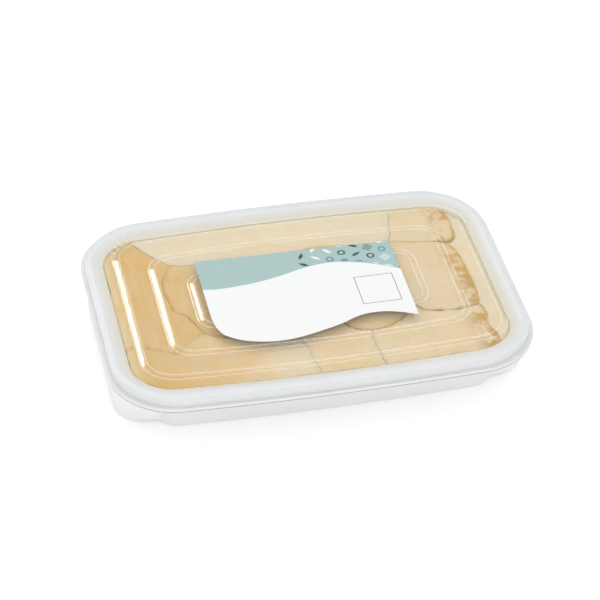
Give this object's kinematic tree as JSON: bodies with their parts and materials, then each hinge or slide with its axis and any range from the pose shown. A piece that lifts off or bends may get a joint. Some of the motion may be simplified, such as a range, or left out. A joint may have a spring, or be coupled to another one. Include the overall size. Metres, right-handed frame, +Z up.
{
  "type": "marinated salt cod",
  "caption": "Shallow white tub with a clear, stepped lid and a paper label, full of cod slices in oil.",
  "frame": {"origin": "centre of the tub's footprint, on the surface it stands on", "axes": "+X along the tub's length, +Y to its far long side when the label reads upright, +Z up through the lid"},
  "size_m": [0.2616, 0.178, 0.0388],
  "materials": {
    "white_plastic": "smooth white polypropylene",
    "clear_plastic": "thin clear plastic, glossy",
    "paper": "coated paper, satin",
    "cod_deep": "wet flesh in oil",
    "cod": "wet flesh in oil"
  },
  "bodies": {
    "root": {"tub": "white_plastic", "lid": "clear_plastic", "label": "paper", "cod_bed": "cod_deep", "cod_slice_right_middle": "cod", "cod_slice_middle": "cod", "cod_slice_back": "cod", "cod_slice_left_middle": "cod", "cod_slice_back_right": "cod", "cod_slice_front_left": "cod", "cod_slice_front_right": "cod", "cod_slice_front_middle": "cod", "cod_slice_left_end": "cod", "cod_slice_right_end": "cod"}
  },
  "joints": []
}
